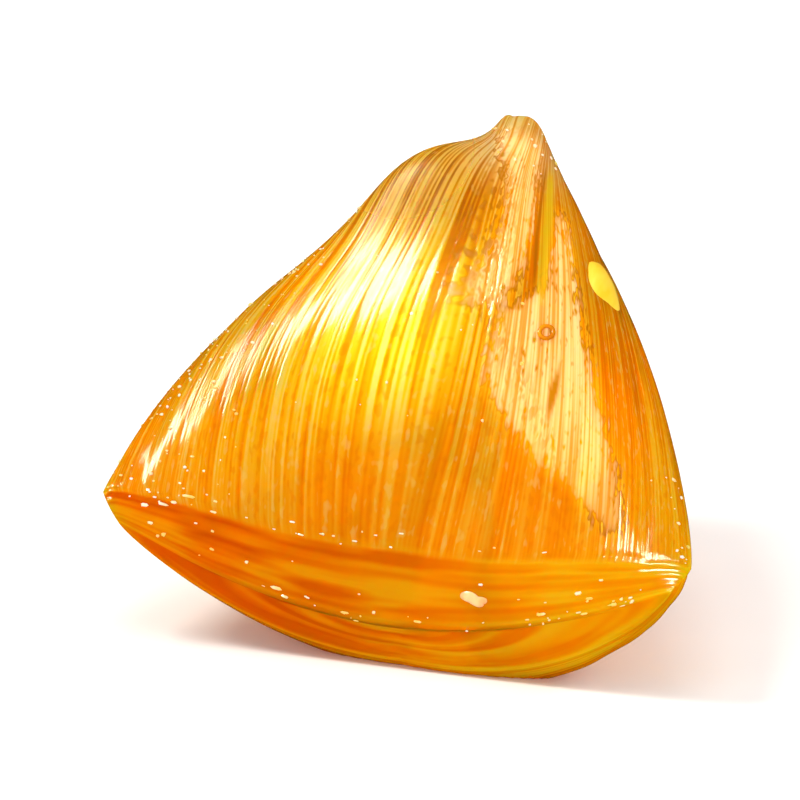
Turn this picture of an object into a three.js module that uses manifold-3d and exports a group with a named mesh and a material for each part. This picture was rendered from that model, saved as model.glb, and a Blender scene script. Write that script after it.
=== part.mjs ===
// A pulled hard candy: a short length of sugar rope, snipped flat and wide at one end and pinched
// upright at the other, so that its sides sweep round like a tetrahedron.
// Millimetres, +Z up. The candy lies on a narrow flat spot along its keel, with the wide cut to the front (-Y)
// and the pinched end upright at the back. The origin is the bottom centre of its bounding box.
import * as THREE from "three";
import { mergeVertices } from "three/addons/utils/BufferGeometryUtils.js";
import Module from "manifold-3d";

// The rope, along its own axis from the wide cut (0) to the pinched end (1).
const ropeLength = 20.1;
const wideHalfWidth = 13.8;
const wideUpperHalf = 1.7;
const wideLowerHalf = 2.5;
const pinchHalfThickness = 1.2;
const pinchUpperHalf = 7.7;
const pinchLowerHalf = 13.3;
const pinchLean = 0.5;
const pinchSlant = 0.22;
const pinchSquareness = 0.55;

// How late each flank draws in and how early the upper and lower sides open out: exponents, no unit.
const leftDraw = { late: 2.33, round: 1 };
const rightDraw = { late: 1.24, round: 0.735 };
const upperOpen = 1.6;
const lowerOpen = 1.35;
const leftSquareness = 0.37;
const rightSquareness = 0.1;
const cornerSharpness = 0.34;

// The wide cut sags in the middle and its corners are lifted.
const cutSag = 6.7;
const leftCornerLift = 4.5;
const rightCornerLift = 4.2;
const lowerRightFullness = 0.97;
const lowerLeftFullness = 0.1;

// Worn rims: how wide they are, and how flat the bevel at the wide cut is between its two edges.
const upperRimRadius = 1.6;
const lowerRimRadius = 0.9;
const pinchRimRadius = 0.5;
const rimFlatness = 0.75;

// Local swellings and dents on the side: place along the rope, angle round it, height, length and spread.
const swellings = [
  { along: 0.8, angle: 112, height: 1.7, length: 0.13, spread: 0.36 },
  { along: 1, angle: 92, height: 0.85, length: 0.06, spread: 0.36 },
  { along: 1, angle: 93, height: -0.15, length: 0.04, spread: 0.06 },
];

// Pulling leaves broad flutes and narrower ribs that run the length of the rope.
const ribs = [
  { count: 9, depth: 0.22, start: 0.5, twist: 0.35 },
  { count: 20, depth: 0.14, start: 1.1, twist: -0.5 },
  { count: 33, depth: 0.1, start: 0.2, twist: 0.8 },
];

// A smooth facet to the right of the middle, where only a small share of that relief is left.
const facet = { angle: 68, spread: 0.24, from: 0.15, to: 0.3, left: 0.25 };

const cutLayers = 2.5;
const cutLayerDepth = 0.16;

// How it lies.
const restTilt = 10.7;
const restFlatDepth = 0.7;

// Mesh density.
const segments = 132;
const sideRings = 23;
const wideRimRings = 6;
const pinchRimRings = 3;
const wideCapSteps = [0.2, 0.4, 0.6, 0.8, 0.95];
const pinchCapSteps = [0.8, 0.4];

const candyColour = 0xf2a21a;

function smoothStep(from, to, value) {
  return THREE.MathUtils.smoothstep(value, from, to);
}

// A power that keeps the sign.
function signedPower(value, exponent) {
  return Math.sign(value) * Math.max(Math.abs(value), 1e-9) ** exponent;
}

// A smooth switch from 0 to 1 as the value passes zero.
function sideWeight(value, sharpness) {
  return 0.5 + 0.5 * Math.tanh(value * sharpness);
}

// The width of the rope to one side of its axis.
function halfWidth(along, draw) {
  const spread = wideHalfWidth - pinchHalfThickness;
  return pinchHalfThickness + spread * (1 - along ** draw.late) ** draw.round;
}

// The height of the rope above or below its axis.
function halfHeight(along, wide, pinched, open) {
  return wide + (pinched - wide) * (1 - (1 - along) ** open);
}

// How much of the relief is left on the smooth facet.
function facetShare(along, angle) {
  const sideways = (angle - THREE.MathUtils.degToRad(facet.angle)) / facet.spread;
  const inside = Math.exp(-(sideways ** 4)) * smoothStep(facet.from, facet.to, along);
  return 1 - (1 - facet.left) * inside;
}

// Height of the ribs and flutes above the plain side.
function ribHeight(along, angle) {
  const fade = smoothStep(0, 0.08, along) * (1 - 0.55 * along) * facetShare(along, angle);
  let height = 0;
  for (const rib of ribs) {
    const wave = Math.abs(Math.sin((rib.count * angle) / 2 + rib.start + rib.twist * along));
    height += rib.depth * (wave - 0.64);
  }
  return height * fade;
}

// Height of the local swellings and dents.
function swellingHeight(along, angle) {
  let height = 0;
  for (const swelling of swellings) {
    const lengthwise = (along - swelling.along) / swelling.length;
    const sideways = (angle - THREE.MathUtils.degToRad(swelling.angle)) / swelling.spread;
    height += swelling.height * Math.exp(-lengthwise * lengthwise - sideways * sideways);
  }
  return height;
}

// The rim at the wide cut is broad and soft above, and tighter below.
function wideRimRadius(angle) {
  const height = Math.sin(angle);
  const upper = sideWeight(height, 3) * (0.35 + 0.65 * Math.abs(height));
  return lowerRimRadius + (upperRimRadius - lowerRimRadius) * upper;
}

// How much fuller the underside is beside the middle.
function lowerFullness(cosine, sine) {
  const fullness = cosine < 0 ? lowerLeftFullness : lowerRightFullness;
  return sine < 0 ? fullness * Math.abs(cosine) * Math.sqrt(-sine) : 0;
}

// A point on the section at a distance along the axis, drawn in by an inset and shrunk towards the middle.
function sectionPoint(distance, angle, inset, shrink) {
  const along = THREE.MathUtils.clamp(distance / ropeLength, 0, 1);
  const cosine = Math.cos(angle);
  const sine = Math.sin(angle);
  const left = sideWeight(-cosine, 3);
  const top = sideWeight(sine, 3);
  const width = halfWidth(along, cosine < 0 ? leftDraw : rightDraw);
  const upper = halfHeight(along, wideUpperHalf, pinchUpperHalf, upperOpen);
  const lower = halfHeight(along, wideLowerHalf, pinchLowerHalf, lowerOpen);
  const height = THREE.MathUtils.lerp(lower, upper, sideWeight(sine, 4));
  const squareness = THREE.MathUtils.lerp(rightSquareness, leftSquareness, left);
  const square = 1 - 4 * along * (1 - along) * top * squareness;
  const reachX = Math.max(width - inset, 0.1) * shrink;
  const reachZ = Math.max(height - inset, 0.1) * shrink;
  const toCut = (1 - along) ** 2;
  let x = reachX * signedPower(cosine, square * (1 - pinchSquareness * along ** 12));
  let z = reachZ * signedPower(sine, square + cornerSharpness * (1 - along) ** 3);
  z *= 1 + lowerFullness(cosine, sine) * toCut;
  const across = x / wideHalfWidth;
  const lift = (x < 0 ? leftCornerLift : rightCornerLift) * across * across;
  z += (lift - cutSag) * toCut;
  if (shrink === 1) {
    const relief = ribHeight(along, angle) + swellingHeight(along, angle);
    x += relief * cosine;
    z += relief * sine;
  }
  x += pinchLean * along + pinchSlant * Math.min(z, 0) * along ** 1.5;
  return new THREE.Vector3(x, distance, z);
}

// Shallow layers, parallel to the edge, on the wide cut.
function cutLayer(shrink) {
  return cutLayerDepth * Math.sin(Math.PI * shrink * cutLayers) ** 2 * (1 - shrink ** 8);
}

// Rings of points from the wide cut, over its rim, along the side and over the pinched rim.
function candyRings() {
  const rings = [];
  const addRing = (pointAt) => {
    const ring = [];
    for (let i = 0; i < segments; i += 1) ring.push(pointAt((i / segments) * 2 * Math.PI));
    rings.push(ring);
  };
  for (const shrink of wideCapSteps) {
    addRing((angle) => sectionPoint(cutLayer(shrink), angle, wideRimRadius(angle), shrink));
  }
  for (let i = 0; i < wideRimRings; i += 1) {
    const turn = ((i / wideRimRings) * Math.PI) / 2;
    const flat = (2 * turn) / Math.PI;
    const depth = THREE.MathUtils.lerp(1 - Math.cos(turn), flat, rimFlatness);
    const drawnIn = THREE.MathUtils.lerp(1 - Math.sin(turn), 1 - flat, rimFlatness);
    addRing((angle) => {
      const radius = wideRimRadius(angle);
      return sectionPoint(radius * depth, angle, radius * drawnIn, 1);
    });
  }
  for (let i = 0; i < sideRings; i += 1) {
    const share = i / (sideRings - 1);
    addRing((angle) => {
      const start = wideRimRadius(angle);
      return sectionPoint(start + (ropeLength - pinchRimRadius - start) * share, angle, 0, 1);
    });
  }
  for (let i = 1; i <= pinchRimRings; i += 1) {
    const turn = ((1 - i / pinchRimRings) * Math.PI) / 2;
    const distance = ropeLength - pinchRimRadius * (1 - Math.cos(turn));
    addRing((angle) => sectionPoint(distance, angle, pinchRimRadius * (1 - Math.sin(turn)), 1));
  }
  for (const shrink of pinchCapSteps) {
    addRing((angle) => sectionPoint(ropeLength, angle, pinchRimRadius, shrink));
  }
  return rings;
}

// Closes the rings into one skin, with a fan over each end.
function skinGeometry(rings) {
  const positions = [];
  for (const ring of rings) {
    for (const point of ring) positions.push(point.x, point.y, point.z);
  }
  const firstCentre = positions.length / 3;
  const first = sectionPoint(0, 0, 0, 0);
  const last = sectionPoint(ropeLength, 0, 0, 0);
  positions.push(first.x, first.y, first.z, last.x, last.y, last.z);
  const faces = [];
  const lastRing = (rings.length - 1) * segments;
  for (let i = 0; i < segments; i += 1) {
    const next = (i + 1) % segments;
    faces.push(firstCentre, i, next);
    faces.push(firstCentre + 1, lastRing + next, lastRing + i);
    for (let ring = 0; ring < rings.length - 1; ring += 1) {
      const here = ring * segments;
      const beyond = here + segments;
      faces.push(here + i, beyond + i, here + next);
      faces.push(here + next, beyond + i, beyond + next);
    }
  }
  const geometry = new THREE.BufferGeometry();
  geometry.setAttribute("position", new THREE.Float32BufferAttribute(positions, 3));
  geometry.setIndex(faces);
  return geometry;
}

// Tips the candy back as it lies and lowers it so that the flat spot is at height zero.
function layDown(geometry) {
  geometry.rotateX(THREE.MathUtils.degToRad(restTilt));
  geometry.computeBoundingBox();
  geometry.translate(0, 0, -geometry.boundingBox.min.z - restFlatDepth);
  return geometry;
}

function toSolid(wasm, geometry) {
  const plain = new THREE.BufferGeometry();
  plain.setAttribute("position", geometry.getAttribute("position"));
  plain.setIndex(geometry.index);
  const merged = mergeVertices(plain, 1e-4);
  return new wasm.Manifold(
    new wasm.Mesh({
      numProp: 3,
      vertProperties: new Float32Array(merged.attributes.position.array),
      triVerts: new Uint32Array(merged.index.array),
    }),
  );
}

function toGeometry(solid) {
  const mesh = solid.getMesh();
  const geometry = new THREE.BufferGeometry();
  geometry.setAttribute("position", new THREE.BufferAttribute(mesh.vertProperties, 3));
  geometry.setIndex(new THREE.BufferAttribute(mesh.triVerts, 1));
  return geometry;
}

// Takes off everything below height zero, which leaves the flat spot.
function cutFlatSpot(wasm, geometry) {
  const block = new THREE.BoxGeometry(4 * wideHalfWidth, 4 * ropeLength, 10);
  block.translate(0, 0, -5);
  return toGeometry(toSolid(wasm, geometry).subtract(toSolid(wasm, block)));
}

function centreOnBase(geometry) {
  geometry.computeBoundingBox();
  const centre = geometry.boundingBox.getCenter(new THREE.Vector3());
  geometry.translate(-centre.x, -centre.y, 0);
  geometry.computeVertexNormals();
  return geometry;
}

const wasm = await Module();
wasm.setup();

const candyGeometry = centreOnBase(cutFlatSpot(wasm, layDown(skinGeometry(candyRings()))));
const candyMaterial = new THREE.MeshStandardMaterial({
  color: candyColour,
  roughness: 0.12,
  metalness: 0,
});
const candyMesh = new THREE.Mesh(candyGeometry, candyMaterial);
candyMesh.name = "candy";

const candy = new THREE.Group();
candy.add(candyMesh);

export default candy;
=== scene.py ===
import math

import bpy
import numpy as np
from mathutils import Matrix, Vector


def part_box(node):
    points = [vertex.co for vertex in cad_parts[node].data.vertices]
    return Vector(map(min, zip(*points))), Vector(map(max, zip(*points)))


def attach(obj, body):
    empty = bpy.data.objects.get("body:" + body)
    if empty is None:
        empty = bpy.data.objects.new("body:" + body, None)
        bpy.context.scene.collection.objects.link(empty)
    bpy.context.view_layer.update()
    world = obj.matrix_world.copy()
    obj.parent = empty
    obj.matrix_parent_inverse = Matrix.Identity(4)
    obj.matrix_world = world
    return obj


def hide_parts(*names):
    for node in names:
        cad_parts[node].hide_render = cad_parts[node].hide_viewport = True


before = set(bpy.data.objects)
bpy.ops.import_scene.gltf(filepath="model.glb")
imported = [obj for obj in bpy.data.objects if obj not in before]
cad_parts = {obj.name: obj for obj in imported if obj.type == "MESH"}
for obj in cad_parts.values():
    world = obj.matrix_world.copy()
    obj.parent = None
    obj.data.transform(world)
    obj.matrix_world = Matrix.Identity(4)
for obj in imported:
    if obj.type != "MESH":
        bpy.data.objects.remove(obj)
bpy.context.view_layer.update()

MM = 0.001
FULL_TURN = 2.0 * math.pi
QUARTER_TURN = math.pi / 2.0

# The rope along its own axis, in millimetres, as in the solid.
ROPE_LENGTH = 20.1
WIDE_HALF_WIDTH = 13.8
WIDE_UPPER_HALF = 1.7
WIDE_LOWER_HALF = 2.5
PINCH_HALF_THICKNESS = 1.2
PINCH_UPPER_HALF = 7.7
PINCH_LOWER_HALF = 13.3
PINCH_LEAN = 0.5
PINCH_SLANT = 0.22
PINCH_SLANT_LATE = 1.5
PINCH_SQUARENESS = 0.55
PINCH_SQUARE_LATE = 12
LEFT_LATE = 2.33
LEFT_ROUND = 1.0
RIGHT_LATE = 1.24
RIGHT_ROUND = 0.735
UPPER_OPEN = 1.6
LOWER_OPEN = 1.35
LEFT_SQUARENESS = 0.37
RIGHT_SQUARENESS = 0.1
CORNER_SHARPNESS = 0.34
CORNER_SHARP_NEAR = 3
CUT_SAG = 6.7
LEFT_CORNER_LIFT = 4.5
RIGHT_CORNER_LIFT = 4.2
LOWER_RIGHT_FULLNESS = 0.97
LOWER_LEFT_FULLNESS = 0.1
UPPER_RIM_RADIUS = 1.6
LOWER_RIM_RADIUS = 0.9
RIM_LEFT_AT_CORNERS = 0.35
PINCH_RIM_RADIUS = 0.5
RIM_FLATNESS = 0.75
LEAST_HALF = 0.1
REST_TILT = 10.7
REST_FLAT_DEPTH = 0.7

# How sharply one side of a section turns into the other, in its form and in its height.
SIDE_BLEND = 3.0
HEIGHT_BLEND = 4.0

# Swellings and a dent: place along the rope, angle round it in degrees, height, length and spread.
SWELLINGS = (
    (0.8, 112, 1.7, 0.13, 0.36),
    (1.0, 92, 0.85, 0.06, 0.36),
    (1.0, 93, -0.15, 0.04, 0.06),
)

# Ribs: how many, depth, start and twist. They stand out and in from their middle height, start just behind
# the rim and get lower towards the pinched end.
RIBS = ((9, 0.18, 0.5, 0.35), (20, 0.06, 1.1, -0.5), (33, 0.035, 0.2, 0.8))
RIB_MIDDLE = 0.64
RIB_FADE_IN = 0.08
RIB_LOSS = 0.55

# Shallow layers on the wide cut: depth, how many, and how close to the rim they end.
CUT_LAYER_DEPTH = 0.08
CUT_LAYERS = 2.5
CUT_LAYER_END = 8

# Fine pulled lines: how many round the rope, how many changes along it, and depth.
FINE_LINES = ((70, 3, 0.013), (150, 5, 0.007), (320, 7, 0.003))
FINE_FADE_IN = (0.04, 0.09)
FINE_LOSS = 0.4

# A smooth facet right of the middle, where the relief is weak: angle round the rope, spread and the share of
# the relief that is left. Along the rope it comes in between the two shares.
FACET = (math.radians(68.0), 0.24, 0.25)
FACET_FADE_IN = (0.15, 0.3)

# A narrow slit on the facet: its two ends as along and angle, its half width and its depth, and then the
# length of one radian of skin there.
SLIT = ((0.315, math.radians(64.6)), (0.42, math.radians(62.2)), 0.1, 0.02)
SLIT_ARC = 9.0

# Density of the visible mesh.
SEGMENTS = 960
WIDE_CAP_RINGS = 16
WIDE_RIM_RINGS = 9
SIDE_RINGS = 56
PINCH_RIM_RINGS = 5
PINCH_CAP_RINGS = 4

# The parts of the skin, in order from the wide cut to the pinched end.
WIDE_CAP, WIDE_RIM, SIDE, PINCH_RIM, PINCH_CAP = range(5)

SEED = 11

# Strips that run along the rope. Each kind has the softness of its sides in degrees and its strips, and a
# strip is rows of: along, from and to angle in degrees. The first kind is a painted reflection of a light,
# in pale strips. The dark kind is painted shade in the slit and a line beside the yellow strip.
STRIPS = {
    "painted_reflection": (4.5, (
        ((0.11, 40, 45), (0.19, 43, 57), (0.27, 46, 71), (0.36, 50, 82),
         (0.5, 54, 82), (0.58, 56, 68), (0.8, 58, 62)),
        ((0.5, 82, 91), (0.6, 77, 89), (0.7, 74, 85), (0.82, 74, 88), (0.95, 74, 96)),
    )),
    "yellow": (1.5, (
        ((0.55, 68.5, 70.5), (0.7, 66.5, 70.5), (0.9, 63.5, 68)),
    )),
    "pitted": (4.0, (
        ((0.48, 81, 87), (0.6, 82, 92), (0.7, 80, 92), (0.84, 84, 92)),
        ((0.2, 57, 60), (0.5, 80, 86)),
    )),
    "brushed": (5.0, (
        ((0.22, 114, 144), (0.35, 115, 152), (0.5, 120, 160), (0.75, 130, 170)),
        ((0.02, 8, 48), (0.2, 8, 44), (0.4, 10, 30)),
    )),
    "dark": (0.5, (
        ((0.31, 64.4, 65.4), (0.37, 62.6, 65.2), (0.43, 61.8, 62.6)),
        ((0.56, 71.6, 72.2), (0.7, 71.4, 72.8), (0.9, 69.0, 69.8)),
    )),
}
# A strip's ends fade in from this far outside its first and last row to this far inside them.
STRIP_END_OUTSIDE = 0.02
STRIP_END_INSIDE = 0.04

# Sugar grains: how many, from and to angle in degrees, from and to share of the side (below 0 is on the rim),
# and how many times longer the longest are drawn.
GRAIN_ZONES = (
    (190, 122, 172, 0.0, 0.75, 1.5),
    (16, 95, 172, -0.14, 0.0, 2.0),
    (30, 22, 125, -0.17, -0.135, 4.5),
    (18, 26, 74, -0.16, -0.05, 3.2),
    (16, 6, 36, -0.05, 0.25, 1.5),
    (30, 60, 130, 0.86, 1.0, 1.5),
    (14, 70, 112, 0.2, 0.6, 1.5),
    (90, 185, 350, 0.05, 1.0, 1.5),
    (26, 58, 150, -0.03, 0.02, 4.5),
)
GRAIN_RADIUS = (0.035, 0.11)
GRAIN_CORNER = (0.7, 1.15)
GRAIN_STRETCH = (0.7, 1.1)

# A share below 0 times this is the share of the rim, counted from the side.
RIM_SHARES = 6.0
# How many columns to each side a direction on the skin is measured over.
FRAME_REACH = 3.0

# Flat bits, each at a share of the side and an angle: length, width, turn in degrees, height and how uneven
# the outline is.
SLIVER = (0.675, 40.5, 3.1, 2.1, -30.0, 0.16, 0.1)
CHIP = (-0.1, 74.0, 0.6, 1.5, -20.0, 0.1, 0.4)
BIT_LAYERS = 7
BIT_SIDES = 44
BIT_CORNERS = 12
BIT_EDGE_DEPTH = 0.02
BIT_SUNK_DEPTH = 0.25
BIT_CROWN = 0.01

# The burst bubble, at a share of the side and an angle: radius of the lip and of its thread.
BUBBLE = (0.455, 67.0, 0.31, 0.1)
BUBBLE_SIDES = 40
BUBBLE_THREAD_SIDES = 10

# Where the colour changes: middle and radius in millimetres in the candy's own frame.
DOME = ((-3.5, 3.5, 18.5), 9.0)
# The two glow patches are painted light: bright yellow where light shines into the sugar and under its
# highlights.
PAINTED_GLOW = ((-2.7, -2.8, 13.6), 8.2)
LEFT_PAINTED_GLOW = ((-8.5, -5.5, 10.5), 8.0)
STUB = ((1.0, 5.0, 20.2), 4.0)
RIGHT_FLANK = ((8.0, 3.0, 14.5), 8.0)
RIGHT_CORNER = ((12.0, -6.5, 7.0), 8.0)

# Colours of the pulled sugar, as rows of noise value and colour, from its dark streaks to its light ones.
ORANGE = ((0.40, (0.84, 0.25, 0.001)), (0.47, (0.95, 0.34, 0.001)),
          (0.53, (1.0, 0.41, 0.002)), (0.60, (1.0, 0.54, 0.01)))
DEEP_ORANGE = ((0.40, (0.90, 0.28, 0.001)), (0.5, (1.0, 0.39, 0.003)), (0.60, (1.0, 0.54, 0.03)))
GOLDEN = ((0.40, (0.95, 0.38, 0.001)), (0.5, (1.0, 0.50, 0.002)), (0.60, (1.0, 0.66, 0.03)))
# The painted glow: bright yellow where light shines into the sugar.
PAINTED_GLOW_YELLOW = ((0.40, (0.93, 0.45, 0.001)), (0.47, (1.0, 0.72, 0.005)),
                 (0.53, (1.0, 0.88, 0.03)), (0.60, (1.0, 0.98, 0.2)))
DULL_GOLD = ((0.41, (0.28, 0.10, 0.001)), (0.47, (0.57, 0.28, 0.003)),
             (0.53, (0.76, 0.44, 0.008)), (0.60, (0.97, 0.74, 0.13)))
PALE_GOLD = ((0.40, (0.72, 0.43, 0.09)), (0.5, (0.88, 0.62, 0.19)), (0.60, (1.0, 0.86, 0.45)))
# The painted reflection of a light, peach over the orange.
PAINTED_REFLECTION_PEACH = ((0.35, (0.80, 0.34, 0.05)), (0.46, (0.94, 0.52, 0.15)), (0.65, (1.0, 0.68, 0.28)))
CUT_LEFT = ((0.36, (0.72, 0.14, 0.001)), (0.5, (0.88, 0.24, 0.001)), (0.64, (1.0, 0.42, 0.003)))
CUT_RIGHT = ((0.36, (0.95, 0.33, 0.001)), (0.5, (1.0, 0.48, 0.002)), (0.64, (1.0, 0.66, 0.01)))

# Colours that are laid over the streaks.
LIGHT_SPECK = (1.0, 0.72, 0.16, 1.0)
DARK_SPECK = (0.80, 0.26, 0.002, 1.0)
STRIP_OUTLINE = (0.50, 0.19, 0.004, 1.0)
STRIP_YELLOW = (1.0, 0.74, 0.02, 1.0)
PIT_BROWN = (0.60, 0.25, 0.008, 1.0)
# Painted shade in the slit, and a dark line beside the yellow strip.
SLIT_SHADE_AND_LINE_BROWN = (0.52, 0.20, 0.004, 1.0)

# The noises that follow the pulled sugar: scale round and along the rope, and detail.
GRAIN_NOISES = {
    "broad": ((7.0, 7.0, 0.9), 1.0),
    "lines": ((32.0, 32.0, 1.4), 0.0),
    "hairs": ((85.0, 85.0, 2.6), 0.0),
    "blobs": ((42.0, 42.0, 38.0), 1.0),
}
CLOUD_SCALE = 180.0
CUT_WOBBLE_SCALE = 90.0
CUT_LINE_SCALE = 6.0

# Bumps in the material, in millimetres, and how strongly they count.
LINE_BUMP = 0.035
HAIR_BUMP = 0.014
CUT_BUMP = 0.12
PIT_BUMP = -0.06
BUMP_STRENGTH = 0.8

# How boiled sugar takes light: it is smooth but for the worn dome, and less clear in the painted glow.
SMOOTH_ROUGHNESS = 0.1
WORN_ROUGHNESS = 0.36
SUGAR_IOR = 1.5
SPECULAR_LEVEL = 0.4
SPECULAR_TINT = (1.0, 0.95, 0.72, 1.0)
CLEARNESS = 0.6
PAINTED_GLOW_CLEARNESS = 0.25
SCATTER_RADIUS = (1.0, 0.5, 0.1)
SCATTER_SCALE = 3.0
ABSORPTION_COLOUR = (0.99, 0.65, 0.02, 1.0)
ABSORPTION_DENSITY = 120.0

# The darker and the lighter colour of the bits, the grains and the floor, as rows of noise value and colour.
GINGER_COLOURS = ((0.35, (0.94, 0.50, 0.02)), (0.65, (1.0, 0.68, 0.09)))
CHIP_COLOURS = ((0.35, (0.62, 0.23, 0.05)), (0.65, (0.92, 0.52, 0.24)))
BUBBLE_COLOURS = ((0.35, (0.42, 0.12, 0.001)), (0.65, (0.70, 0.26, 0.004)))
GRAIN_COLOURS = ((0.4, (1.0, 0.66, 0.16)), (0.6, (1.0, 0.94, 0.74)))
FLOOR_COLOURS = ((0.3, (0.86, 0.85, 0.84)), (0.7, (0.9, 0.895, 0.885)))

# The stage: half the floor's size and its level, in metres, and how bright the surroundings are.
FLOOR_HALF = 1.2
FLOOR_LEVEL = -0.02 * MM
WORLD_STRENGTH = 0.75

# Lights: name, place and size in metres, power, colour and whether it is mirrored in the candy.
LIGHTS = (
    ("key", (-0.213, -0.110, 0.366), (0.075, 0.16), 1.25, (1.0, 0.97, 0.88), True),
    ("overhead", (0.03, -0.115, 0.39), (0.17, 0.2), 0.36, (1.0, 1.0, 1.0), False),
    ("back_fill", (0.20, 0.32, 0.2), (0.2, 0.2), 0.8, (1.0, 1.0, 1.0), False),
    ("front_fill", (0.12, -0.45, 0.06), (0.3, 0.12), 0.9, (1.0, 1.0, 1.0), False),
)
LIT_PLACE = (0.0, 0.0, 9.2 * MM)

# The camera: the place it looks at, the direction it looks from, its distance and the width it frames.
CAMERA_TARGET = (-3.0 * MM, 0.0, 8.9 * MM)
CAMERA_AZIMUTH = 18.0
CAMERA_ELEVATION = 21.0
CAMERA_DISTANCE = 0.6
FRAME_WIDTH = 36.0 * MM
SENSOR = 36.0


def smooth_step(start, end, value):
    share = np.clip((value - start) / (end - start), 0.0, 1.0)
    return share * share * (3.0 - 2.0 * share)


def signed_power(value, exponent):
    return np.sign(value) * np.maximum(np.abs(value), 1e-9) ** exponent


def side_weight(value, sharpness):
    return 0.5 + 0.5 * np.tanh(value * sharpness)


def half_width(along, late, rounding):
    spread = WIDE_HALF_WIDTH - PINCH_HALF_THICKNESS
    return PINCH_HALF_THICKNESS + spread * (1.0 - along ** late) ** rounding


def half_height(along, wide, pinched, opening):
    return wide + (pinched - wide) * (1.0 - (1.0 - along) ** opening)


def rib_height(along, angle):
    height = np.zeros_like(along)
    for count, depth, start, twist in RIBS:
        wave = np.abs(np.sin(count * angle / 2.0 + start + twist * along))
        height += depth * (wave - RIB_MIDDLE)
    return height * smooth_step(0.0, RIB_FADE_IN, along) * (1.0 - RIB_LOSS * along)


def swelling_height(along, angle):
    height = np.zeros_like(along)
    for place, degrees, rise, length, spread in SWELLINGS:
        lengthwise = (along - place) / length
        sideways = (angle - math.radians(degrees)) / spread
        height += rise * np.exp(-lengthwise ** 2 - sideways ** 2)
    return height


def wide_rim_radius(angle):
    height = np.sin(angle)
    share = RIM_LEFT_AT_CORNERS + (1.0 - RIM_LEFT_AT_CORNERS) * np.abs(height)
    upper = side_weight(height, SIDE_BLEND) * share
    return LOWER_RIM_RADIUS + (UPPER_RIM_RADIUS - LOWER_RIM_RADIUS) * upper


def facet_share(along, angle):
    """How much of the relief is left on the smooth facet."""
    middle, spread, least = FACET
    inside = np.exp(-((angle - middle) / spread) ** 4) * smooth_step(*FACET_FADE_IN, along)
    return 1.0 - (1.0 - least) * inside


def slit_depth(along, angle):
    """A short narrow slit, its depth falling off to both sides."""
    start, end, half_width_mm, depth = SLIT
    scale = np.array([ROPE_LENGTH, SLIT_ARC])
    first = np.array(start) * scale
    run = np.array(end) * scale - first
    lengthwise = along * scale[0] - first[0]
    sideways = angle * scale[1] - first[1]
    share = np.clip((lengthwise * run[0] + sideways * run[1]) / (run @ run), 0.0, 1.0)
    away = np.hypot(lengthwise - share * run[0], sideways - share * run[1])
    return depth * np.exp(-(away / half_width_mm) ** 2)


def soft_table(rng, table_rows, table_columns, row, column):
    """Smooth random values from a small table that closes on itself across its columns."""
    table = rng.random((table_rows + 1, table_columns)) - 0.5
    row_place = np.clip(row, 0.0, 1.0) * table_rows
    column_place = column * table_columns
    row_index = np.minimum(row_place.astype(int), table_rows - 1)
    column_index = np.floor(column_place).astype(int)
    row_share = smooth_step(0.0, 1.0, row_place - row_index)
    column_share = smooth_step(0.0, 1.0, column_place - column_index)
    left = column_index % table_columns
    right = (column_index + 1) % table_columns
    near = table[row_index, left] * (1.0 - column_share) + table[row_index, right] * column_share
    far = table[row_index + 1, left] * (1.0 - column_share) + table[row_index + 1, right] * column_share
    return near * (1.0 - row_share) + far * row_share


def fine_height(along, angle):
    """The fine lines that pulling leaves, lower towards the pinched end."""
    rng = np.random.default_rng(SEED)
    height = np.zeros_like(along)
    for count, changes, depth in FINE_LINES:
        height += depth * 2.0 * soft_table(rng, changes, count, along, angle / FULL_TURN)
    return height * smooth_step(*FINE_FADE_IN, along) * (1.0 - FINE_LOSS * along)


def strip_share(along, angle, strips, soft):
    """1 inside any of the strips, falling to 0 over a soft edge in degrees."""
    degrees = np.degrees(angle)
    most = np.zeros_like(along)
    for rows in strips:
        places, lows, highs = np.array(rows, dtype=float).T
        low = np.interp(along, places, lows)
        high = np.interp(along, places, highs)
        across = smooth_step(low - soft, low + soft, degrees)
        across = across * smooth_step(high + soft, high - soft, degrees)
        first, last = places[0], places[-1]
        ends = smooth_step(first - STRIP_END_OUTSIDE, first + STRIP_END_INSIDE, along)
        ends = ends * smooth_step(last + STRIP_END_OUTSIDE, last - STRIP_END_INSIDE, along)
        most = np.maximum(most, across * ends)
    return most


def section_size(along, cosine, sine):
    """Half the width and half the height of a section in a direction."""
    left_width = half_width(along, LEFT_LATE, LEFT_ROUND)
    right_width = half_width(along, RIGHT_LATE, RIGHT_ROUND)
    upper = half_height(along, WIDE_UPPER_HALF, PINCH_UPPER_HALF, UPPER_OPEN)
    lower = half_height(along, WIDE_LOWER_HALF, PINCH_LOWER_HALF, LOWER_OPEN)
    width = np.where(cosine < 0.0, left_width, right_width)
    return width, lower + (upper - lower) * side_weight(sine, HEIGHT_BLEND)


def section_squareness(along, cosine, sine):
    """The power that makes the middle sections squarer at the top, and most so on the left."""
    left = side_weight(-cosine, SIDE_BLEND)
    top = side_weight(sine, SIDE_BLEND)
    squareness = RIGHT_SQUARENESS + (LEFT_SQUARENESS - RIGHT_SQUARENESS) * left
    return 1.0 - 4.0 * along * (1.0 - along) * top * squareness


def skin_relief(along, angle, shrink):
    """All that stands out of the plain sections, on the full sections only."""
    relief = (rib_height(along, angle) + fine_height(along, angle)) * facet_share(along, angle)
    relief = relief + swelling_height(along, angle) - slit_depth(along, angle)
    return np.where(shrink == 1.0, relief, 0.0)


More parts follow.
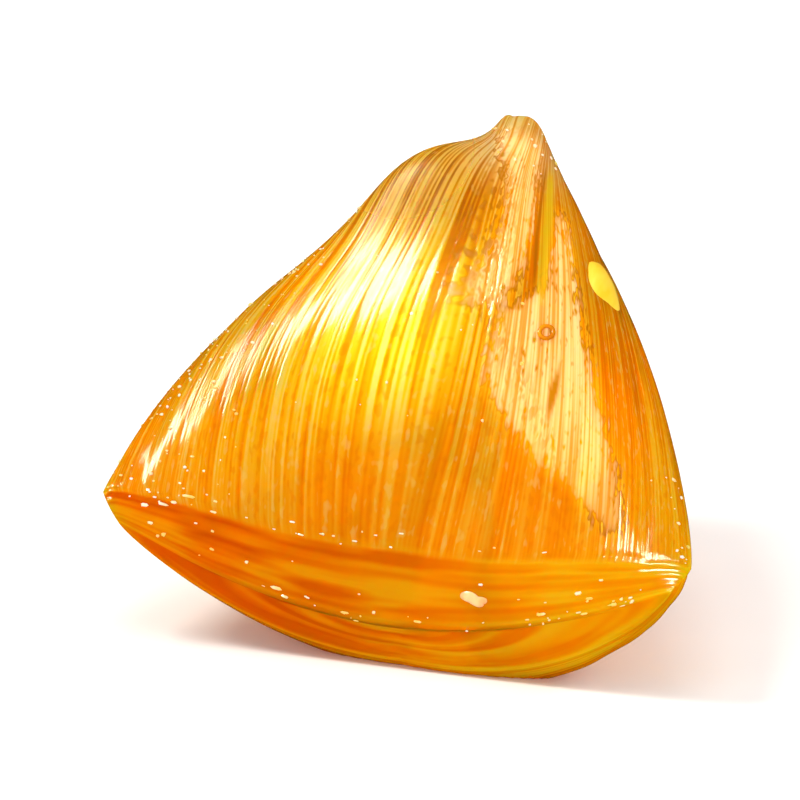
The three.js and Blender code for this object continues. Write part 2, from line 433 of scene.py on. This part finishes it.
def section_point(distance, angle, inset, shrink):
    along = np.clip(distance / ROPE_LENGTH, 0.0, 1.0)
    cosine = np.cos(angle)
    sine = np.sin(angle)
    to_cut = (1.0 - along) ** 2
    width, height = section_size(along, cosine, sine)
    square = section_squareness(along, cosine, sine)
    pinch_square = 1.0 - PINCH_SQUARENESS * along ** PINCH_SQUARE_LATE
    x = np.maximum(width - inset, LEAST_HALF) * shrink * signed_power(cosine, square * pinch_square)
    z = np.maximum(height - inset, LEAST_HALF) * shrink
    z = z * signed_power(sine, square + CORNER_SHARPNESS * (1.0 - along) ** CORNER_SHARP_NEAR)
    fullness = np.where(cosine < 0.0, LOWER_LEFT_FULLNESS, LOWER_RIGHT_FULLNESS)
    below = np.where(sine < 0.0, np.abs(cosine) * np.sqrt(np.maximum(-sine, 0.0)), 0.0)
    z = z * (1.0 + fullness * below * to_cut)
    lift = np.where(x < 0.0, LEFT_CORNER_LIFT, RIGHT_CORNER_LIFT) * (x / WIDE_HALF_WIDTH) ** 2
    z = z + (lift - CUT_SAG) * to_cut
    relief = skin_relief(along, angle, shrink)
    x = x + relief * cosine
    z = z + relief * sine
    x = x + PINCH_LEAN * along + PINCH_SLANT * np.minimum(z, 0.0) * along ** PINCH_SLANT_LATE
    return x, distance, z


def cut_layer(shrink):
    """Shallow layers on the wide cut that run parallel to its edge."""
    return CUT_LAYER_DEPTH * np.sin(math.pi * shrink * CUT_LAYERS) ** 2 * (1.0 - shrink ** CUT_LAYER_END)


def ring_plan():
    """Rows of: part of the skin, shrink, turn of the rim in radians, share along the side."""
    rows = []
    for i in range(WIDE_CAP_RINGS):
        rows.append((WIDE_CAP, (i + 0.5) / WIDE_CAP_RINGS, 0.0, 0.0))
    for i in range(WIDE_RIM_RINGS):
        rows.append((WIDE_RIM, 1.0, i / WIDE_RIM_RINGS * math.pi / 2.0, 0.0))
    for i in range(SIDE_RINGS):
        rows.append((SIDE, 1.0, QUARTER_TURN, i / (SIDE_RINGS - 1)))
    for i in range(1, PINCH_RIM_RINGS + 1):
        rows.append((PINCH_RIM, 1.0, (1.0 - i / PINCH_RIM_RINGS) * math.pi / 2.0, 1.0))
    for i in range(1, PINCH_CAP_RINGS + 1):
        rows.append((PINCH_CAP, 1.0 - i / (PINCH_CAP_RINGS + 1), 0.0, 1.0))
    return np.array(rows)


def rope_places(part, turn, side_share, shrink, angle):
    """How far along the rope each point lies, and how far it is drawn in at a rim."""
    rim = wide_rim_radius(angle)
    flat = turn / QUARTER_TURN
    depth = 1.0 - np.cos(turn) + (flat - 1.0 + np.cos(turn)) * RIM_FLATNESS
    drawn_in = 1.0 - np.sin(turn) + (np.sin(turn) - flat) * RIM_FLATNESS
    distance = rim + (ROPE_LENGTH - PINCH_RIM_RADIUS - rim) * side_share
    distance = np.where(part <= WIDE_RIM, rim * depth, distance)
    distance = np.where(part >= PINCH_RIM, ROPE_LENGTH - PINCH_RIM_RADIUS * (1.0 - np.cos(turn)), distance)
    distance = np.where(part == WIDE_CAP, cut_layer(shrink), distance)
    distance = np.where(part == PINCH_CAP, ROPE_LENGTH, distance)
    inset = np.where(part <= WIDE_RIM, rim * drawn_in, 0.0)
    inset = np.where(part >= PINCH_RIM, PINCH_RIM_RADIUS * (1.0 - np.sin(turn)), inset)
    return distance, inset


def lay_down(x, y, z):
    """Tilt the rope to the way it lies, flatten its lowest line and centre it in the solid's box."""
    tilt = math.radians(REST_TILT)
    back = y * math.cos(tilt) - z * math.sin(tilt)
    up = y * math.sin(tilt) + z * math.cos(tilt)
    lying = np.stack([x, back, up], -1)
    lying[..., 2] -= lying[..., 2].min() + REST_FLAT_DEPTH
    lying[..., 2] = np.maximum(lying[..., 2], 0.0)
    low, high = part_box("candy")
    centre = (lying.reshape(-1, 3).max(0) + lying.reshape(-1, 3).min(0)) / 2.0
    for axis in (0, 1):
        lying[..., axis] += (low[axis] + high[axis]) / 2.0 / MM - centre[axis]
    return lying


def colour_marks(part, turn, shrink, along, angle):
    """Values that tell the material where a point is: layer is 0 to 1 on the cut, and to 2 over the rim."""
    on_rim = np.where(part == WIDE_RIM, 1.0 + turn / QUARTER_TURN, 2.0)
    marks = {
        "layer": np.where(part == WIDE_CAP, shrink, on_rim),
        "facet": np.where(part == SIDE, 1.0 - facet_share(along, angle), 0.0),
    }
    for name, (soft, strips) in STRIPS.items():
        marks[name] = np.where(part >= SIDE, strip_share(along, angle, strips, soft), 0.0)
    return marks


def candy_grid():
    """The candy's skin as a grid of points, ring by ring, standing as it lies."""
    plan = ring_plan()
    part = plan[:, 0:1]
    turn = plan[:, 2:3]
    angle = np.linspace(0.0, FULL_TURN, SEGMENTS, endpoint=False)[None, :] * np.ones_like(part)
    shrink = plan[:, 1:2] * np.ones_like(angle)
    distance, inset = rope_places(part, turn, plan[:, 3:4], shrink, angle)
    lying = lay_down(*section_point(distance, angle, inset, shrink))
    along = distance / ROPE_LENGTH
    grain = np.stack([np.cos(angle), np.sin(angle), along], -1)
    return lying * MM, grain, colour_marks(part, turn, shrink, along, angle)


def candy_faces(rings, count):
    """Quads between the rings, and triangles that close both ends round two last points."""
    ring = np.arange(rings - 1)[:, None] * count
    here = np.arange(count)[None, :]
    ahead = (here + 1) % count
    quads = np.stack([ring + here, ring + count + here, ring + count + ahead, ring + ahead], -1)
    first = rings * count
    last_ring = (rings - 1) * count
    near = np.stack([np.full(count, first), here[0], ahead[0]], -1)
    far = np.stack([np.full(count, first + 1), last_ring + ahead[0], last_ring + here[0]], -1)
    return quads.reshape(-1, 4).tolist() + near.tolist() + far.tolist()


def candy_mesh(name, grid, grain, marks):
    rings, count, _ = grid.shape
    ends = np.array([grid[0].mean(0), grid[-1].mean(0)])
    vertices = np.concatenate([grid.reshape(-1, 3), ends])
    mesh = bpy.data.meshes.new(name)
    mesh.from_pydata(vertices.tolist(), [], candy_faces(rings, count))
    mesh.polygons.foreach_set("use_smooth", np.ones(len(mesh.polygons), dtype=bool))
    flow = np.concatenate([grain.reshape(-1, 3), [[0.0, 0.0, 0.0], [0.0, 0.0, 1.0]]])
    mesh.attributes.new("grain", "FLOAT_VECTOR", "POINT").data.foreach_set("vector", flow.ravel())
    for mark, values in marks.items():
        values = np.concatenate([values.ravel(), [values[0, 0], values[-1, 0]]])
        mesh.attributes.new(mark, "FLOAT", "POINT").data.foreach_set("value", values)
    mesh.update()
    piece = bpy.data.objects.new(name, mesh)
    bpy.context.scene.collection.objects.link(piece)
    return piece


def skin_spot(share, degrees):
    """Ring and column of a place on the side, or on the rim where the share is below 0."""
    first = WIDE_CAP_RINGS + WIDE_RIM_RINGS
    ring = first + np.where(share < 0.0, share * RIM_SHARES * WIDE_RIM_RINGS, share * (SIDE_RINGS - 1))
    return ring, degrees / 360.0 * SEGMENTS


def skin_point(grid, ring, column):
    """Points of the skin between its rings and columns."""
    ring = np.clip(ring, 0.0, len(grid) - 1.001)
    low = np.floor(ring).astype(int)
    left = np.floor(column).astype(int)
    down = (ring - low)[..., None]
    over = (column - left)[..., None]
    near = grid[low, left % SEGMENTS] * (1.0 - over) + grid[low, (left + 1) % SEGMENTS] * over
    far = grid[low + 1, left % SEGMENTS] * (1.0 - over) + grid[low + 1, (left + 1) % SEGMENTS] * over
    return near * (1.0 - down) + far * down


def skin_frame(grid, ring, column):
    """Directions across, along and out of the skin, and the size of one column and one ring."""
    span = 2.0 * FRAME_REACH
    across = skin_point(grid, ring, column + FRAME_REACH) - skin_point(grid, ring, column - FRAME_REACH)
    along = skin_point(grid, ring + 0.5, column) - skin_point(grid, ring - 0.5, column)
    column_size = np.linalg.norm(across, axis=-1, keepdims=True) / span
    ring_size = np.linalg.norm(along, axis=-1, keepdims=True)
    across = across / (span * column_size)
    out = np.cross(along / ring_size, across)
    out /= np.linalg.norm(out, axis=-1, keepdims=True)
    return across, np.cross(across, out), out, column_size, ring_size


def add_piece(name, vertices, faces, material, smooth):
    mesh = bpy.data.meshes.new(name)
    mesh.from_pydata(np.asarray(vertices).tolist(), [], np.asarray(faces).tolist())
    mesh.polygons.foreach_set("use_smooth", np.full(len(mesh.polygons), smooth))
    mesh.materials.append(material)
    piece = bpy.data.objects.new(name, mesh)
    bpy.context.scene.collection.objects.link(piece)
    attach(piece, "root")
    return piece


def crystal_shape():
    """The corners and faces of an icosahedron of radius 1, whose edges are 1.05 long."""
    golden = (1.0 + 5.0 ** 0.5) / 2.0
    corners = []
    for one in (-1.0, 1.0):
        for two in (-golden, golden):
            corners += [(0.0, one, two), (one, two, 0.0), (two, 0.0, one)]
    corners = np.array(corners) / math.hypot(1.0, golden)
    near = np.linalg.norm(corners[:, None] - corners[None, :], axis=-1) < 1.1
    faces = []
    for a in range(12):
        for b in range(a + 1, 12):
            for c in range(b + 1, 12):
                if near[a, b] and near[b, c] and near[a, c]:
                    flip = np.cross(corners[b] - corners[a], corners[c] - corners[a]) @ corners[a] < 0.0
                    faces.append((a, c, b) if flip else (a, b, c))
    return corners, np.array(faces)


def add_grains(grid, material):
    """Loose sugar grains stuck to the skin, half sunk, as one mesh."""
    rng = np.random.default_rng(SEED + 2)
    corners, faces = crystal_shape()
    low, high = GRAIN_RADIUS
    vertices = []
    triangles = []
    for count, from_degrees, to_degrees, from_share, to_share, longest in GRAIN_ZONES:
        share = rng.uniform(from_share, to_share, count)
        degrees = rng.uniform(from_degrees, to_degrees, count)
        ring, column = skin_spot(share, degrees)
        across, along, out, _, _ = skin_frame(grid, ring, column)
        middle = skin_point(grid, ring, column)
        radius = (low + (high - low) * rng.random(count) ** 2.0) * MM
        for i in range(count):
            uneven = corners * rng.uniform(*GRAIN_CORNER, (len(corners), 1))
            uneven = uneven * rng.uniform(*GRAIN_STRETCH, 3) * radius[i]
            uneven[:, 0] *= rng.uniform(1.0, longest)
            frame_at = np.array([across[i], along[i], out[i]])
            triangles.append(faces + len(corners) * len(vertices))
            vertices.append(middle[i] + uneven @ frame_at)
    vertices = np.concatenate(vertices)
    vertices[:, 2] = np.maximum(vertices[:, 2], 0.0)
    return add_piece("sugar_grains", vertices, np.concatenate(triangles), material, False)


def bit_faces(layers, count):
    """Rings of a bit from its middle out and under its edge, closed by two last points above and below."""
    crown = (layers + 1) * count
    faces = []
    for i in range(count):
        ahead = (i + 1) % count
        faces.append((crown, i, ahead))
        faces.append((crown + 1, layers * count + ahead, layers * count + i))
        for row in range(layers):
            here = row * count
            faces.append((here + i, here + count + i, here + count + ahead))
            faces.append((here + i, here + count + ahead, here + ahead))
    return faces


def bit_outline(seed, uneven):
    """Directions round a bit, and how far its edge reaches in each."""
    rng = np.random.default_rng(seed)
    around = np.linspace(0.0, FULL_TURN, BIT_SIDES, endpoint=False)
    corners = np.linspace(0.0, FULL_TURN, BIT_CORNERS, endpoint=False)
    reach = rng.uniform(-1.0, 1.0, BIT_CORNERS)
    return around, 1.0 + uneven * np.interp(around, corners, reach, period=FULL_TURN)


def add_bit(name, grid, material, spot):
    """A flat, uneven bit that follows the skin, sunk in it but for its low crown."""
    share, degrees, length, width, turn, height, uneven = spot
    ring, column = skin_spot(np.array(share), np.array(degrees))
    _, _, _, column_size, ring_size = skin_frame(grid, ring, column)
    around, edge = bit_outline(SEED + 3 + int(degrees), uneven)
    radius = np.sin(np.arange(1, BIT_LAYERS + 1) / BIT_LAYERS * math.pi / 2.0)[:, None]
    lengthwise = radius * edge * np.cos(around) * length / 2.0
    sideways = radius * edge * np.sin(around) * width / 2.0
    slant = math.radians(turn)
    rings = ring + (lengthwise * math.cos(slant) - sideways * math.sin(slant)) * MM / ring_size
    columns = column + (lengthwise * math.sin(slant) + sideways * math.cos(slant)) * MM / column_size
    skin = skin_point(grid, rings, columns)
    out = skin_frame(grid, rings, columns)[2]
    rise = (height * (1.0 - radius ** 4) - BIT_EDGE_DEPTH) * MM
    top = skin + out * rise[..., None]
    under = skin[-1] - out[-1] * BIT_SUNK_DEPTH * MM
    crown = top[0].mean(0) + out[0].mean(0) * BIT_CROWN * MM
    vertices = np.concatenate([top.reshape(-1, 3), under, [crown], [under.mean(0)]])
    return add_piece(name, vertices, bit_faces(BIT_LAYERS, BIT_SIDES), material, True)


def add_bubble(grid, material):
    """The raised lip round a burst bubble: a thin ring, half sunk in the skin."""
    share, degrees, radius, thickness = BUBBLE
    ring, column = skin_spot(np.array(share), np.array(degrees))
    across, along, out, _, _ = skin_frame(grid, ring, column)
    middle = skin_point(grid, ring, column)
    turn = np.linspace(0.0, FULL_TURN, BUBBLE_SIDES, endpoint=False)[:, None]
    thread = np.linspace(0.0, FULL_TURN, BUBBLE_THREAD_SIDES, endpoint=False)[None, :]
    reach = (radius + thickness * np.cos(thread)) * MM
    vertices = middle + (reach * np.cos(turn))[..., None] * across
    vertices = vertices + (reach * np.sin(turn))[..., None] * along
    vertices = vertices + (thickness * np.sin(thread) * MM * np.ones_like(turn))[..., None] * out
    faces = []
    for i in range(BUBBLE_SIDES):
        here = i * BUBBLE_THREAD_SIDES
        ahead = (i + 1) % BUBBLE_SIDES * BUBBLE_THREAD_SIDES
        for j in range(BUBBLE_THREAD_SIDES):
            over = (j + 1) % BUBBLE_THREAD_SIDES
            faces.append((here + j, ahead + j, ahead + over, here + over))
    return add_piece("bubble_lip", vertices.reshape(-1, 3), faces, material, True)


class Shader:
    """A small helper that adds and joins the nodes of one material."""

    def __init__(self, name):
        self.material = bpy.data.materials.new(name)
        self.material.use_nodes = True
        self.tree = self.material.node_tree
        self.surface = self.tree.nodes["Principled BSDF"]
        self.output = self.tree.nodes["Material Output"]

    def node(self, kind, inputs=None, **settings):
        node = self.tree.nodes.new(kind)
        for key, value in settings.items():
            setattr(node, key, value)
        for key, value in (inputs or {}).items():
            self.put(node.inputs[key], value)
        return node

    def put(self, socket, value):
        if isinstance(value, bpy.types.NodeSocket):
            self.tree.links.new(value, socket)
        else:
            socket.default_value = value

    def finish(self, **values):
        """Fill sockets of the surface, named with _ for each space."""
        for name, value in values.items():
            self.put(self.surface.inputs[name.replace("_", " ")], value)

    def place(self):
        return self.node("ShaderNodeTexCoord").outputs["Object"]

    def mark(self, name):
        return self.node("ShaderNodeAttribute", attribute_name=name).outputs["Fac"]

    def axis(self, vector, name):
        return self.node("ShaderNodeSeparateXYZ", {"Vector": vector}).outputs[name]

    def ramp(self, value, stops):
        node = self.node("ShaderNodeValToRGB", {"Fac": value})
        band = node.color_ramp
        while len(band.elements) < len(stops):
            band.elements.new(0.5)
        for element, (place, colour) in zip(band.elements, stops):
            element.position = place
            element.color = (*colour, 1.0)
        return node.outputs["Color"]

    def mix(self, share, one, two):
        node = self.node("ShaderNodeMix", data_type="RGBA")
        self.put(node.inputs["Factor"], share)
        self.put(node.inputs["A"], one)
        self.put(node.inputs["B"], two)
        return node.outputs["Result"]

    def maths(self, operation, one, two):
        node = self.node("ShaderNodeMath", operation=operation)
        self.put(node.inputs[0], one)
        self.put(node.inputs[1], two)
        return node.outputs["Value"]

    def product(self, *values):
        total = values[0]
        for value in values[1:]:
            total = self.maths("MULTIPLY", total, value)
        return total

    def weighted(self, *parts):
        """The sum of values, each given with its weight."""
        terms = [self.maths("MULTIPLY", value, weight) for value, weight in parts]
        total = terms[0]
        for term in terms[1:]:
            total = self.maths("ADD", total, term)
        return total

    def ranged(self, value, start, end, low=0.0, high=1.0):
        node = self.node("ShaderNodeMapRange", {"Value": value, "From Min": start, "From Max": end})
        node.inputs["To Min"].default_value = low
        node.inputs["To Max"].default_value = high
        return node.outputs["Result"]

    def noise(self, vector, scale, detail):
        node = self.node("ShaderNodeTexNoise", {"Vector": vector, "Scale": scale, "Detail": detail})
        node.inputs["Roughness"].default_value = 0.55
        return node.outputs["Fac"]

    def stretched(self, vector, scale):
        node = self.node("ShaderNodeMapping", {"Vector": vector, "Scale": scale})
        return node.outputs["Vector"]

    def near(self, place, patch):
        """1 in the middle of a patch given in millimetres, falling softly to 0 at its radius."""
        centre, radius = patch
        away = self.node("ShaderNodeVectorMath", operation="DISTANCE")
        self.put(away.inputs[0], place)
        self.put(away.inputs[1], tuple(value * MM for value in centre))
        fall = self.node("ShaderNodeMapRange", interpolation_type="SMOOTHSTEP")
        self.put(fall.inputs["Value"], away.outputs["Value"])
        fall.inputs["From Min"].default_value = radius * MM
        fall.inputs["From Max"].default_value = 0.0
        return fall.outputs["Result"]

    def bump(self, height, distance, strength, normal=None):
        node = self.node("ShaderNodeBump", {"Height": height, "Distance": distance, "Strength": strength})
        if normal is not None:
            self.put(node.inputs["Normal"], normal)
        return node.outputs["Normal"]


def candy_patterns(shader):
    """The places, marks and noises that the candy's colour and relief are made of, by name."""
    grain = shader.node("ShaderNodeAttribute", attribute_name="grain").outputs["Vector"]
    place = shader.place()
    patterns = {"place": place, "along": shader.axis(grain, "Z")}
    for name in ("facet", *STRIPS):
        patterns[name] = shader.mark(name)
    for name, (scale, detail) in GRAIN_NOISES.items():
        patterns[name] = shader.noise(shader.stretched(grain, scale), 1.0, detail)
    layer = shader.mark("layer")
    patterns["on_fan"] = shader.ranged(layer, 1.85, 2.0)
    patterns["clouds"] = shader.noise(place, CLOUD_SCALE, 1.0)
    wobble = shader.noise(place, CUT_WOBBLE_SCALE, 0.0)
    cut_place = shader.node("ShaderNodeCombineXYZ", {
        "X": layer,
        "Y": shader.maths("MULTIPLY", wobble, 0.5),
        "Z": shader.maths("MULTIPLY", patterns["clouds"], 0.3),
    })
    patterns["cut_lines"] = shader.noise(cut_place.outputs["Vector"], CUT_LINE_SCALE, 1.0)
    return patterns


def streak_values(shader, patterns):
    """Dark and light lines along the rope, weaker near the wide cut."""
    streaks = shader.weighted((patterns["broad"], 0.2), (patterns["lines"], 0.3), (patterns["hairs"], 0.5))
    contrast = shader.ranged(patterns["along"], 0.08, 0.4, 0.45, 1.0)
    streaks = shader.product(shader.maths("SUBTRACT", streaks, 0.5), contrast)
    return shader.maths("ADD", streaks, shader.ranged(patterns["clouds"], 0.3, 0.7, 0.475, 0.525))


def fan_colour(shader, patterns):
    """Orange, drawn into lighter and darker lines, with a painted yellow glow and a duller dome."""
    streaks = streak_values(shader, patterns)
    fine = shader.weighted((streaks, 0.5), (patterns["hairs"], 0.5))
    deep = shader.ramp(streaks, DEEP_ORANGE)
    bright = shader.ramp(streaks, PAINTED_GLOW_YELLOW)
    tone = shader.mix(shader.ranged(patterns["along"], 0.35, 0.08), shader.ramp(streaks, ORANGE), deep)
    # The glow patches are painted light, bright yellow under the highlights.
    for patch, colour, most in ((RIGHT_FLANK, deep, 1.0),
                                (RIGHT_CORNER, shader.ramp(streaks, GOLDEN), 1.0),
                                (DOME, shader.ramp(fine, DULL_GOLD), 0.9),
                                (PAINTED_GLOW, bright, 1.0),
                                (LEFT_PAINTED_GLOW, bright, 0.55),
                                (STUB, shader.ramp(streaks, PALE_GOLD), 0.9)):
        share = shader.maths("MULTIPLY", shader.near(patterns["place"], patch), most)
        tone = shader.mix(share, tone, colour)
    return tone


def add_specks(shader, patterns, tone):
    """Small light and dark specks all over the fan."""
    specks = shader.weighted((patterns["blobs"], 0.7), (patterns["hairs"], 0.3))
    tone = shader.mix(shader.ranged(specks, 0.56, 0.64, 0.0, 0.4), tone, LIGHT_SPECK)
    return shader.mix(shader.ranged(specks, 0.44, 0.37, 0.0, 0.35), tone, DARK_SPECK)


def add_strips(shader, patterns, tone):
    """Pale strips of painted reflection with a ragged, broken outline, then the yellow strip, the pits and
    the dark lines.
    """
    # The pale strips are a painted reflection of a light, peach inside a ragged outline.
    painted_reflection = patterns["painted_reflection"]
    hairs = patterns["hairs"]
    blobs = patterns["blobs"]
    ragged = shader.maths("MULTIPLY", shader.maths("SUBTRACT", blobs, 0.5), 2.2)
    edge = shader.maths("ADD", painted_reflection, ragged)
    broken = shader.ranged(patterns["clouds"], 0.42, 0.58, 0.1, 0.85)
    outline = shader.product(shader.ranged(edge, 0.2, 0.4), shader.ranged(painted_reflection, 0.0, 0.15), broken)
    tone = shader.mix(outline, tone, STRIP_OUTLINE)
    inside = shader.product(shader.ranged(edge, 0.45, 0.8, 0.0, 0.9),
                            shader.ranged(patterns["along"], 0.14, 0.34, 0.35, 1.0))
    tone = shader.mix(inside, tone, shader.ramp(hairs, PAINTED_REFLECTION_PEACH))
    yellow = shader.product(patterns["yellow"], shader.ranged(hairs, 0.35, 0.55, 0.6, 1.0))
    tone = shader.mix(yellow, tone, STRIP_YELLOW)
    pits = shader.product(shader.ranged(blobs, 0.5, 0.6, 0.0, 0.8), patterns["pitted"])
    tone = shader.mix(pits, tone, PIT_BROWN)
    # Painted shade in the slit, and the dark line beside the yellow strip.
    return shader.mix(patterns["dark"], tone, SLIT_SHADE_AND_LINE_BROWN)


def cut_colour(shader, patterns):
    """The wide cut, redder at its left end and more golden at its right one."""
    to_right = shader.ranged(shader.axis(patterns["place"], "X"), -6.0 * MM, 9.0 * MM)
    left = shader.ramp(patterns["cut_lines"], CUT_LEFT)
    right = shader.ramp(patterns["cut_lines"], CUT_RIGHT)
    return shader.mix(to_right, left, right)


def candy_relief(shader, patterns):
    """Lines and hairs on the fan but not on its facet, layers on the cut, and pits in their strips."""
    on_fan = patterns["on_fan"]
    off_facet = shader.maths("SUBTRACT", 1.0, patterns["facet"])
    rough = shader.product(on_fan, off_facet, shader.ranged(patterns["along"], 0.12, 0.38, 0.35, 1.0))
    lines = shader.product(patterns["lines"], rough)
    brushed = shader.ranged(patterns["brushed"], 0.0, 1.0, 1.0, 3.2)
    hairs = shader.product(patterns["hairs"], rough, brushed)
    cut = shader.product(patterns["cut_lines"], shader.maths("SUBTRACT", 1.0, on_fan))
    pits = shader.product(patterns["blobs"], patterns["pitted"])
    normal = None
    for height, size in ((lines, LINE_BUMP), (hairs, HAIR_BUMP), (cut, CUT_BUMP), (pits, PIT_BUMP)):
        normal = shader.bump(height, size * MM, BUMP_STRENGTH, normal)
    return normal


def candy_material():
    shader = Shader("amber_sugar")
    patterns = candy_patterns(shader)
    place = patterns["place"]
    fan = add_strips(shader, patterns, add_specks(shader, patterns, fan_colour(shader, patterns)))
    worn = shader.product(shader.near(place, DOME), patterns["on_fan"])
    # Less clear in the painted glow and in the strips of painted reflection.
    clear = shader.product(shader.ranged(shader.near(place, PAINTED_GLOW), 0.2, 1.0, CLEARNESS, PAINTED_GLOW_CLEARNESS),
                           shader.ranged(patterns["painted_reflection"], 0.0, 1.0, 1.0, 0.2))
    shader.finish(
        Base_Color=shader.mix(patterns["on_fan"], cut_colour(shader, patterns), fan),
        Roughness=shader.ranged(worn, 0.4, 0.9, SMOOTH_ROUGHNESS, WORN_ROUGHNESS),
        IOR=SUGAR_IOR,
        Specular_IOR_Level=SPECULAR_LEVEL,
        Specular_Tint=SPECULAR_TINT,
        Transmission_Weight=clear,
        Subsurface_Weight=1.0,
        Subsurface_Radius=SCATTER_RADIUS,
        Subsurface_Scale=SCATTER_SCALE * MM,
        Normal=candy_relief(shader, patterns),
    )
    absorb = shader.node("ShaderNodeVolumeAbsorption")
    absorb.inputs["Color"].default_value = ABSORPTION_COLOUR
    absorb.inputs["Density"].default_value = ABSORPTION_DENSITY
    shader.put(shader.output.inputs["Volume"], absorb.outputs["Volume"])
    return shader.material


def grain_material():
    shader = Shader("sugar_crystal")
    shader.finish(
        Base_Color=shader.ramp(shader.noise(shader.place(), 700.0, 1.0), GRAIN_COLOURS),
        Roughness=0.08,
        Transmission_Weight=0.3,
        Subsurface_Weight=0.6,
        Subsurface_Scale=0.2 * MM,
    )
    return shader.material


def bit_material(name, colours):
    """A firm, slightly fibrous bit."""
    shader = Shader(name)
    fibre = shader.noise(shader.stretched(shader.place(), (900.0, 250.0, 500.0)), 1.0, 3.0)
    shader.finish(
        Base_Color=shader.ramp(fibre, colours),
        Roughness=0.16,
        Subsurface_Weight=0.5,
        Subsurface_Scale=0.5 * MM,
        Normal=shader.bump(fibre, 0.03 * MM, 0.6),
    )
    return shader.material


def floor_material():
    shader = Shader("pale_floor")
    shader.finish(
        Base_Color=shader.ramp(shader.noise(shader.place(), 60.0, 3.0), FLOOR_COLOURS),
        Roughness=0.7,
    )
    return shader.material


def add_stage():
    mesh = bpy.data.meshes.new("floor")
    signs = ((-1, -1), (1, -1), (1, 1), (-1, 1))
    corners = [(x * FLOOR_HALF, y * FLOOR_HALF, FLOOR_LEVEL) for x, y in signs]
    mesh.from_pydata(corners, [], [(0, 1, 2, 3)])
    mesh.materials.append(floor_material())
    floor = bpy.data.objects.new("floor", mesh)
    bpy.context.scene.collection.objects.link(floor)
    floor.visible_glossy = False


def aim(thing, target):
    direction = thing.location - target
    thing.rotation_euler = direction.to_track_quat("Z", "Y").to_euler()


def add_light(name, place, size, power, colour, reflected):
    lamp = bpy.data.lights.new(name, "AREA")
    lamp.shape = "RECTANGLE"
    lamp.size = size[0]
    lamp.size_y = size[1]
    lamp.energy = power
    lamp.color = colour
    light = bpy.data.objects.new(name, lamp)
    light.location = place
    light.visible_glossy = reflected
    light.visible_transmission = reflected
    bpy.context.scene.collection.objects.link(light)
    aim(light, Vector(LIT_PLACE))


def add_world():
    world = bpy.data.worlds.new("studio")
    bpy.context.scene.world = world
    world.use_nodes = True
    background = world.node_tree.nodes["Background"]
    background.inputs["Color"].default_value = (1.0, 1.0, 1.0, 1.0)
    background.inputs["Strength"].default_value = WORLD_STRENGTH
    world.cycles_visibility.glossy = False


def add_camera():
    azimuth = math.radians(CAMERA_AZIMUTH)
    elevation = math.radians(CAMERA_ELEVATION)
    back = Vector((math.sin(azimuth) * math.cos(elevation),
                   -math.cos(azimuth) * math.cos(elevation), math.sin(elevation)))
    target = Vector(CAMERA_TARGET)
    data = bpy.data.cameras.new("camera")
    data.sensor_width = SENSOR
    data.lens = SENSOR * CAMERA_DISTANCE / FRAME_WIDTH
    data.clip_start = 0.01
    camera = bpy.data.objects.new("camera", data)
    camera.location = target + back * CAMERA_DISTANCE
    bpy.context.scene.collection.objects.link(camera)
    aim(camera, target)
    bpy.context.scene.camera = camera


def main():
    bpy.context.scene.view_settings.view_transform = "Standard"
    add_camera()
    add_world()
    add_stage()
    for light in LIGHTS:
        add_light(*light)
    grid, grain, marks = candy_grid()
    candy = candy_mesh("pulled_candy", grid, grain, marks)
    candy.data.materials.append(candy_material())
    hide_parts("candy")
    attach(candy, "root")
    add_grains(grid, grain_material())
    add_bit("ginger_sliver", grid, bit_material("ginger", GINGER_COLOURS), SLIVER)
    add_bit("sugar_chip", grid, bit_material("sugar_chip", CHIP_COLOURS), CHIP)
    add_bubble(grid, bit_material("bubble_lip", BUBBLE_COLOURS))


main()
